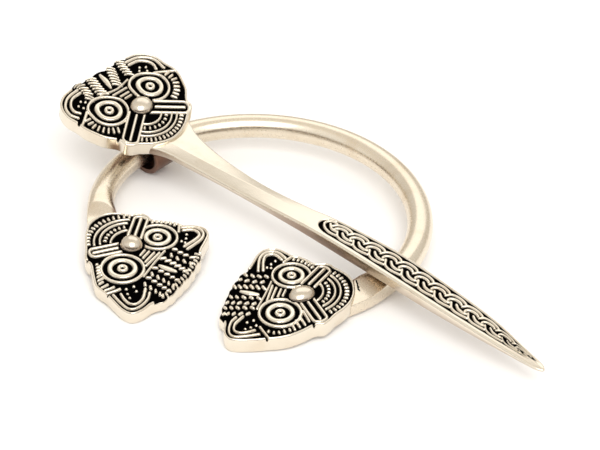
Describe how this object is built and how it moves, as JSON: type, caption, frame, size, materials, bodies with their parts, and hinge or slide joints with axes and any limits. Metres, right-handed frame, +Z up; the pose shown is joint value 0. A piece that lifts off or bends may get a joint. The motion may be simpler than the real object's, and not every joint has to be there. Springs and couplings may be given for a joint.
{
  "type": "penannular fibula brooch",
  "caption": "Cast open-ring fibula brooch: a round hoop with beast-head ends and a long plaited pin that slides and swings on the hoop to fasten cloth.",
  "frame": {"origin": "centre of the hoop, on the flat surface that the brooch lies on", "axes": "+Z up from that surface, -Y towards the gap between the two heads, +X along the brooch's length with the pin's tip on the +X side"},
  "size_m": [0.0649, 0.0427, 0.0107],
  "materials": {
    "cast_metal": "antiqued cast white bronze, polished high parts and near-black recesses",
    "loop_metal": "antiqued cast white bronze, browned and left from the mould",
    "pin_metal": "antiqued cast white bronze, polished shaft and near-black recesses"
  },
  "bodies": {
    "hoop": {"hoop": "cast_metal"},
    "loop": {"pin_loop": "loop_metal"},
    "pin": {"pin": "pin_metal"}
  },
  "joints": [
    {"name": "slide_round", "type": "hinge", "parent": "hoop", "child": "loop", "pos_m": [0, 0, 0.00224], "axis": [0, -0.0658, 0.9978], "range_deg": [-160, 32]},
    {"name": "swing", "type": "hinge", "parent": "loop", "child": "pin", "pos_m": [-0.01645, 0.00765, 0.00284], "axis": [-0.3889, -0.9121, -0.13], "range_deg": [0, 170]}
  ]
}
